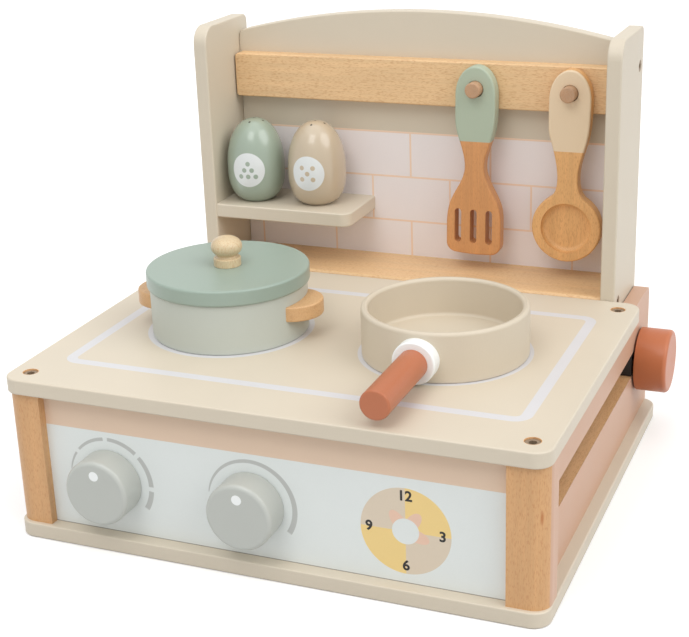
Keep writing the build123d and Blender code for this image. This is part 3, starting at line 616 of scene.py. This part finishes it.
class KITCHEN_OT_back(KitchenOperator, bpy.types.Operator):
    """Print the tiles on the back and finish the beech rail, ledge and pegs"""

    bl_idname = "kitchen.back"
    bl_label = "Back"

    # Heights of the level joints, X of the upright ones, and half a joint's width, in millimetres.
    top_row = 222.5
    rows = (186.0, 149.2)
    middle_joints = (-110.7, -44.0, 22.0, 88.8)
    outer_joints = (-144.7, -77.7, -11.0, 55.7, 122.6)
    joint_half = 0.75

    def execute(self, context):
        paints = self.paints(context)
        finish = Finish("tile_print", 0.46)
        in_middle = finish.z.within(self.rows[1], self.rows[0])
        outside = in_middle * -1 + 1
        joints = [self.joint(finish.z, height) for height in (self.top_row, *self.rows)]
        joints += [self.joint(finish.x, x) * in_middle for x in self.middle_joints]
        joints += [self.joint(finish.x, x) * outside for x in self.outer_joints]
        tiles = finish.mix(reduce(Signal.either, joints), paints.tile, paints.joint)
        front = finish.y.under(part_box("back_board")[0].y / MM + 0.3)
        printed = finish.z.under(self.top_row + self.joint_half) * front
        tone, stipple, clouds = paint_layer(finish, finish.mix(printed, paints.beige, tiles))
        dress(finish.done(tone, stipple, 0.03, finish.uneven(clouds)), "back_board")
        dress(beech("beech_rail", "X", paints, paints.rail_beech), "utensil_rail", "ledge")
        dress(beech("beech_peg", "Y", paints, paints.peg_wood), "spatula_peg", "spoon_peg")
        return {"FINISHED"}

    def joint(self, place, middle):
        """Mask of the joint between two tiles about one place along an axis."""
        return abs(place - middle).under(self.joint_half)


class KITCHEN_OT_pot(KitchenOperator, bpy.types.Operator):
    """Turn the pot with its lid, knob and ears"""

    bl_idname = "kitchen.pot"
    bl_label = "Pot and lid"

    def execute(self, context):
        paints, rounds = self.paints(context), self.sizes(context).rounds
        pot = vessel(outer=56.6, inner=50.6, height=36, floor=8, arcs=(1.2, 0.6, 0.8, 2.5))
        piece = turned("pot", pot, standing("pot_body"), rounds)
        fit(piece, painted("pale_green_paint", paints.pot_green), "pot", "pale_green_paint", "pot_body")

        plug, rim, under_rim, top = 50.3, 58.5, 3, 14.5
        lid = bent([(0, 0), (plug, 0), (plug, under_rim), (rim, under_rim), (rim, top), (0, top)],
                   (0.8, 0.3, 1.6, 1.6))
        piece = turned("lid_disc", lid, standing("pot_lid"), rounds)
        fit(piece, painted("sage_paint", paints.sage, 0.38, 0.15), "lid", "sage_paint", "pot_lid")

        piece = turned("lid_turned_knob", self.knob_profile(), standing("lid_knob"), rounds)
        finish = beech("pale_wood", "Z", paints, paints.pale_wood, 0.34)
        fit(piece, finish, "lid", "pale_wood", "lid_knob")
        dress(beech("beech_ear", "Y", paints), "left_pot_ear", "right_pot_ear")
        return {"FINISHED"}

    @staticmethod
    def knob_profile():
        """Round foot, a neck, and a ball of radius R cos(a)^(2/p) at middle + h sin(a)^(2/p)."""
        foot_radius, foot_height, neck_radius = 9.8, 6.2, 7.4
        foot = bent([(0, 0), (foot_radius, 0), (foot_radius, foot_height), (neck_radius, foot_height)],
                    (0.4, 0.8))
        widest, middle, half_height, power = 11.2, 14.0, 7.6, 2.1
        neck = np.arccos((neck_radius / widest) ** (power / 2))
        angle = np.linspace(-neck, np.pi / 2, 48)
        radius = widest * np.abs(np.cos(angle)) ** (2 / power)
        height = middle + half_height * np.sign(angle) * np.abs(np.sin(angle)) ** (2 / power)
        radius[-1] = 0
        return np.concatenate([foot, np.stack([radius, height], -1)])


class KITCHEN_OT_pan(KitchenOperator, bpy.types.Operator):
    """Turn the frying pan, its white collar and its handle"""

    bl_idname = "kitchen.pan"
    bl_label = "Frying pan"

    rod_radius = 10.1

    def execute(self, context):
        paints, rounds = self.paints(context), self.sizes(context).rounds
        pan = vessel(outer=57.5, inner=52.5, height=35, floor=7, arcs=(1.2, 2.4, 2.4, 2.5))
        piece = turned("pan", pan, standing("pan_body"), rounds)
        fit(piece, painted("pan_paint", paints.pan), "pan", "pan_paint", "pan_body")

        low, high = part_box("pan_handle")
        length = (high.y - low.y) / MM
        middle = centre("pan_handle")
        place = Matrix.Translation((middle.x, high.y, middle.z)) @ FACING_FRONT
        piece = turned("pan_rod", disc(self.rod_radius, length, (0.3, 1.5)), place, rounds)
        finish = painted("terracotta_rod", paints.terracotta, 0.4, 0.1)
        fit(piece, finish, "pan", "terracotta_paint", "pan_handle")
        dress(painted("white_paint", paints.white, 0.36, 0.15), "pan_collar")
        return {"FINISHED"}


class KITCHEN_OT_shakers(KitchenOperator, bpy.types.Operator):
    """Turn the two shakers with their labels"""

    bl_idname = "kitchen.shakers"
    bl_label = "Shakers"

    # Millimetres.
    label_height = 28.9
    widest = 23.4
    dot_radius = 1.9
    hole_radius = 0.9
    hole_ring = 8
    holes_above = 50.0

    def egg(self):
        """Profile: radius R cos(a)^(2/p), height belly + h sin(a)^(2/p), for both halves."""
        belly, upper, lower = 27.3, 39.4, 29.2
        blunt, round_top = 2 / 2.6, 2 / 2.2
        foot = np.arcsin((belly / lower) ** (1 / blunt))
        down = np.linspace(foot, 0, 28)[:-1]
        up = np.linspace(0, np.pi / 2, 40)
        radius = self.widest * np.concatenate([np.cos(down) ** blunt, np.cos(up) ** round_top])
        rise = np.concatenate([-lower * np.sin(down) ** blunt, upper * np.sin(up) ** round_top])
        height = belly + rise
        radius[-1] = 0
        height[0] = 0
        return np.concatenate([[[0, 0]], np.stack([radius, height], -1)])

    def labelled(self, name, tint, paints, label_radius, dots, degrees, place):
        """Gloss lacquer, a round label with a few dots, and painted shade as dark holes on top.

        The label is wrapped on: its width is measured round the egg, as widest times the angle.
        """
        finish = Finish(name, 0.3, 0.6)
        x = finish.x - place.x / MM
        y = finish.y - place.y / MM
        z = finish.z - place.z / MM
        turn = radians(degrees)
        ahead = x * sin(turn) + y * -cos(turn)
        side = (x * cos(turn) + y * sin(turn)).apply("ARCTAN2", ahead) * self.widest
        high = z - self.label_height
        label = side.reach(high).under(label_radius, 0.35) * ahead.over(0.0)
        marks = [(side - across).reach(high - up).under(self.dot_radius, 0.35) for across, up in dots]
        face = finish.mix(reduce(Signal.either, marks), paints.label, tint)
        ring = self.hole_ring
        places = (0, 0), (ring, 0), (-ring, 0), (0, ring), (0, -ring)
        hole_shade = [(x - across).reach(y - back).under(self.hole_radius) for across, back in places]
        tone, stipple, clouds = paint_layer(finish, finish.mix(label, tint, face))
        # Painted shade: dark spots on top stand for the shade inside the holes.
        dark = finish.mix(reduce(Signal.either, hole_shade) * z.over(self.holes_above), tone, paints.hole_shade)
        return finish.done(dark, stipple, 0.02, finish.uneven(clouds, 0.12))

    def execute(self, context):
        paints, sizes = self.paints(context), self.sizes(context)
        pepper_dots = ((0, 5.2), (-3.1, 0), (3.1, 0), (-6.2, -5.2), (0, -5.2), (6.2, -5.2))
        salt_dots = ((0, 0), (-4.6, 4.6), (4.6, 4.6), (-4.6, -4.6), (4.6, -4.6))
        for body, node, slot, tint, dots, degrees in (
            ("pepper", "pepper_shaker", "sage_gloss", paints.shaker_sage, pepper_dots, 8.5),
            ("salt", "salt_shaker", "cream_gloss", paints.shaker_beige, salt_dots, 3.5),
        ):
            place = standing(node)
            piece = turned(body + "_egg", self.egg(), place, sizes.rounds)
            spot = place.translation
            finish = self.labelled(slot, tint, paints, sizes.label_radius, dots, degrees, spot)
            fit(piece, finish, body, slot, node)
        return {"FINISHED"}


class KITCHEN_OT_utensils(KitchenOperator, bpy.types.Operator):
    """Finish the spatula and the spoon, beech below and painted above"""

    bl_idname = "kitchen.utensils"
    bl_label = "Spatula and spoon"

    def execute(self, context):
        paints = self.paints(context)
        self.half_painted("spatula", paints, paints.handle_sage, paints.spatula_beech,
                          foot=224.4, depth=20.0)
        self.half_painted("spoon", paints, paints.cream, paints.spoon_beech, foot=221.0, depth=1.9)
        return {"FINISHED"}

    @staticmethod
    def half_painted(node, paints, tint, bare, foot, depth):
        """Bare wood, with paint above its foot and from the front to its depth, in millimetres."""
        finish = Finish(node + "_finish", 0.44)
        wood, fibres, streaks = beech_layer(finish, "Z", bare, paints.beech_fleck)
        tone = paint_layer(finish, tint)[0]
        upper = finish.z.over(foot, 0.4) * finish.y.under(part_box(node)[0].y / MM + depth, 0.4)
        tone = finish.mix(upper, wood, tone)
        dress(finish.done(tone, fibres * 0.7, 0.04, finish.uneven(streaks, 0.2)), node)


class KITCHEN_OT_turning_knobs(KitchenOperator, bpy.types.Operator):
    """Turn the two grey burner knobs, each with its white dot"""

    bl_idname = "kitchen.turning_knobs"
    bl_label = "Burner knobs"

    # Millimetres.
    radius = 23.5
    dot_height = 13.3
    dot_radius = 3.5

    def execute(self, context):
        paints, rounds = self.paints(context), self.sizes(context).rounds
        for side in ("left", "right"):
            low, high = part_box(side + "_burner_knob")
            middle = (low + high) / 2
            length = (high.y - low.y) / MM
            place = Matrix.Translation((middle.x, high.y, middle.z)) @ FACING_FRONT
            profile = disc(self.radius, length, (0.4, 3.0))
            piece = turned(side + "_turning_knob", profile, place, rounds)
            finish = Finish(side + "_knob_paint", 0.36, 0.1)
            spot = (finish.x - middle.x / MM).reach(finish.z - (middle.z / MM + self.dot_height))
            dot = spot.under(self.dot_radius) * finish.y.under(low.y / MM + 0.5)
            tone, stipple, clouds = paint_layer(finish, finish.mix(dot, paints.knob_grey, paints.white))
            material = finish.done(tone, stipple, 0.025, finish.uneven(clouds))
            fit(piece, material, side + "_burner_control", "knob_paint", side + "_burner_knob")
        return {"FINISHED"}


class KITCHEN_OT_clamps(KitchenOperator, bpy.types.Operator):
    """Turn the two terracotta clamp knobs and finish the hidden hardware"""

    bl_idname = "kitchen.clamps"
    bl_label = "Clamps and hardware"

    # Millimetres.
    radius = 24.4
    recess_radius = 11.3
    recess_depth = 1.9

    def execute(self, context):
        paints, rounds = self.paints(context), self.sizes(context).rounds
        for side, turn in (("left", FACING_LEFT), ("right", FACING_RIGHT)):
            low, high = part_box(side + "_clamp_knob")
            middle = (low + high) / 2
            inner = high.x if side == "left" else low.x
            place = Matrix.Translation((inner, middle.y, middle.z)) @ turn
            profile = self.profile((high.x - low.x) / MM)
            piece = turned(side + "_turned_clamp_knob", profile, place, rounds)
            finish = painted(side + "_clamp_paint", paints.clamp_terracotta, 0.4, 0.1)
            fit(piece, finish, side + "_clamp_handle", "terracotta_paint", side + "_clamp_knob")
        dress(steel("dark_steel", paints.dark_steel, 0.5, 0.5), "cooktop_bolts", "wing_screws")
        dress(steel("insert_brass", paints.brass, 0.3), "left_clamp_insert", "right_clamp_insert")
        # Black runners: their own colour, and painted shade in the slots beside the clamp knobs.
        dress(painted("black_nylon", paints.nylon_and_slot_shade, 0.5), "left_slot_runner", "right_slot_runner")
        dress(beech("dowel_beech", "X", paints), *[name for name in nodes if "dowel" in name])
        dress(steel("zinc_steel", paints.zinc), *[name for name in nodes if self.is_hardware(name)])
        return {"FINISHED"}

    def profile(self, length):
        """Thick disc with a shallow recess in the face that meets the wall."""
        inner, outer, floor = self.recess_radius, self.radius, self.recess_depth
        corners = (0, floor), (inner, floor), (inner, 0), (outer, 0), (outer, length), (0, length)
        return bent(corners, (0.3, 0.3, 0.5, 3.0))

    @staticmethod
    def is_hardware(name):
        """Whether a CAD piece is one of the other steel parts."""
        words = ("base_screws", "rail_screws", "shelf_screws", "lid_knob_screw", "axle", "washer",
                 "nut", "clamp_bolt")
        return any(word in name for word in words)


class KITCHEN_OT_stage(KitchenOperator, bpy.types.Operator):
    """Make the pale floor, the soft lamps, the world and the camera"""

    bl_idname = "kitchen.stage"
    bl_label = "Stage"

    # Strengths of the world's and the floor's own light, then the camera as it was recovered.
    ambient = 0.735
    glow = 0.1
    focal_pixels = 1449.935
    photo_width = 689
    eye = (0.377843, -0.912388, 0.491434)

    def execute(self, context):
        self.floor()
        self.sky(context)
        self.daylight(context, "right_window", towards=(0.75, -0.15, 0.64), degrees=40, strength=1.06)
        self.daylight(context, "ceiling", towards=(-0.05, -0.15, 1.0), degrees=60, strength=0.6)
        self.lamp(context, "front_box", place=(-0.1, -0.95, 1.35), size=0.7, power=5.05)
        self.camera(context)
        context.scene.view_settings.view_transform = "Standard"
        return {"FINISHED"}

    def floor(self):
        """Square floor just under the base board."""
        reach = np.linspace(-6, 6, 13)
        x, y = np.meshgrid(reach, reach)
        points = np.stack([x, y, np.full_like(x, -0.0002)], -1).reshape(-1, 3)
        index = np.arange(points.shape[0]).reshape(x.shape)
        faces = np.stack([index[:-1, :-1], index[:-1, 1:], index[1:, 1:], index[1:, :-1]], -1)
        floor = add_mesh("floor", points, [faces.reshape(-1, 4)])
        floor.data.materials.append(self.paper())

    def sky(self, context):
        """White world that is brighter to the camera than to the kitchen."""
        world = context.scene.world or bpy.data.worlds.new("studio")
        context.scene.world = world
        world.use_nodes = True
        tree = world.node_tree
        background = tree.nodes["Background"]
        background.inputs["Color"].default_value = (1, 1, 1, 1)
        strength = self.seen(tree) * (1 - self.ambient) + self.ambient
        tree.links.new(strength.socket, background.inputs["Strength"])

    @staticmethod
    def seen(tree):
        """1 for the rays that show the background itself, straight or in a gloss."""
        rays = tree.nodes.new("ShaderNodeLightPath")
        seen = Signal(tree, rays.outputs["Is Camera Ray"])
        for kind in ("Is Glossy Ray", "Is Transmission Ray"):
            seen = seen.either(Signal(tree, rays.outputs[kind]))
        return seen

    def paper(self):
        """White paper floor, which looks greyer to the light that bounces off it."""
        finish = Finish("floor_paper", 0.85)
        fibres = finish.noise((0.3, 0.3, 0.3), 2.0)
        seen = self.seen(finish.tree)
        tint = finish.mix(seen, (0.5, 0.5, 0.5), (0.97, 0.97, 0.97))
        finish.shader.inputs["Emission Color"].default_value = (1, 1, 1, 1)
        finish.tree.links.new((seen * self.glow).socket, finish.shader.inputs["Emission Strength"])
        return finish.done(tint, fibres, 0.01)

    @staticmethod
    def lamp(context, name, place, size, power):
        """Square soft lamp that looks at the back of the kitchen."""
        light = bpy.data.lights.new(name, "AREA")
        light.size = size
        light.energy = power
        lamp = bpy.data.objects.new(name, light)
        aim = Vector((0, 0.1, 0.2)) - Vector(place)
        turn = aim.to_track_quat("-Z", "Y").to_matrix().to_4x4()
        lamp.matrix_world = Matrix.Translation(place) @ turn
        context.scene.collection.objects.link(lamp)

    @staticmethod
    def daylight(context, name, towards, degrees, strength):
        """Soft even daylight from one direction."""
        light = bpy.data.lights.new(name, "SUN")
        light.angle = radians(degrees)
        light.energy = strength
        lamp = bpy.data.objects.new(name, light)
        lamp.matrix_world = Vector(towards).to_track_quat("Z", "Y").to_matrix().to_4x4()
        context.scene.collection.objects.link(lamp)

    def camera(self, context):
        """Camera at the photograph's viewpoint, its axes worked out from yaw, pitch and roll."""
        yaw, pitch, roll = radians(22.9315), radians(-20.5365), radians(-2.0756)
        ahead = Vector((-sin(yaw) * cos(pitch), cos(yaw) * cos(pitch), sin(pitch)))
        level = ahead.cross(Vector((0, 0, 1))).normalized()
        upright = level.cross(ahead)
        right = cos(roll) * level + sin(roll) * upright
        up = cos(roll) * upright - sin(roll) * level
        lens = bpy.data.cameras.new("camera")
        lens.sensor_fit = "HORIZONTAL"
        lens.sensor_width = 36.0
        lens.lens = self.focal_pixels * lens.sensor_width / self.photo_width
        lens.clip_end = 50
        view = bpy.data.objects.new("camera", lens)
        axes = Matrix((right, up, -ahead)).transposed().to_4x4()
        view.matrix_world = Matrix.Translation(self.eye) @ axes
        context.scene.collection.objects.link(view)
        context.scene.camera = view


STEPS = (KITCHEN_OT_boards, KITCHEN_OT_sides, KITCHEN_OT_front, KITCHEN_OT_back, KITCHEN_OT_pot,
         KITCHEN_OT_pan, KITCHEN_OT_shakers, KITCHEN_OT_utensils, KITCHEN_OT_turning_knobs,
         KITCHEN_OT_clamps, KITCHEN_OT_stage)


class KITCHEN_PT_panel(bpy.types.Panel):
    """Steps, colours and sizes of the kitchen"""

    bl_idname = "KITCHEN_PT_panel"
    bl_label = "Play kitchen"
    bl_space_type = "VIEW_3D"
    bl_region_type = "UI"
    bl_category = "Play kitchen"

    def draw(self, context):
        for step in STEPS:
            self.layout.operator(step.bl_idname)
        for group in (context.scene.kitchen_paints, context.scene.kitchen_sizes):
            for name in group.__annotations__:
                self.layout.prop(group, name)


CLASSES = (KitchenPaints, KitchenSizes, *STEPS, KITCHEN_PT_panel)


def register():
    """Add the classes and the scene's settings."""
    for kind in CLASSES:
        bpy.utils.register_class(kind)
    bpy.types.Scene.kitchen_paints = PointerProperty(type=KitchenPaints)
    bpy.types.Scene.kitchen_sizes = PointerProperty(type=KitchenSizes)


def unregister():
    """Take them away again."""
    del bpy.types.Scene.kitchen_sizes
    del bpy.types.Scene.kitchen_paints
    for kind in reversed(CLASSES):
        bpy.utils.unregister_class(kind)


def main():
    """Run every step in order."""
    register()
    for step in STEPS:
        group, name = step.bl_idname.split(".")
        getattr(getattr(bpy.ops, group), name)()


if __name__ == "__main__":
    main()
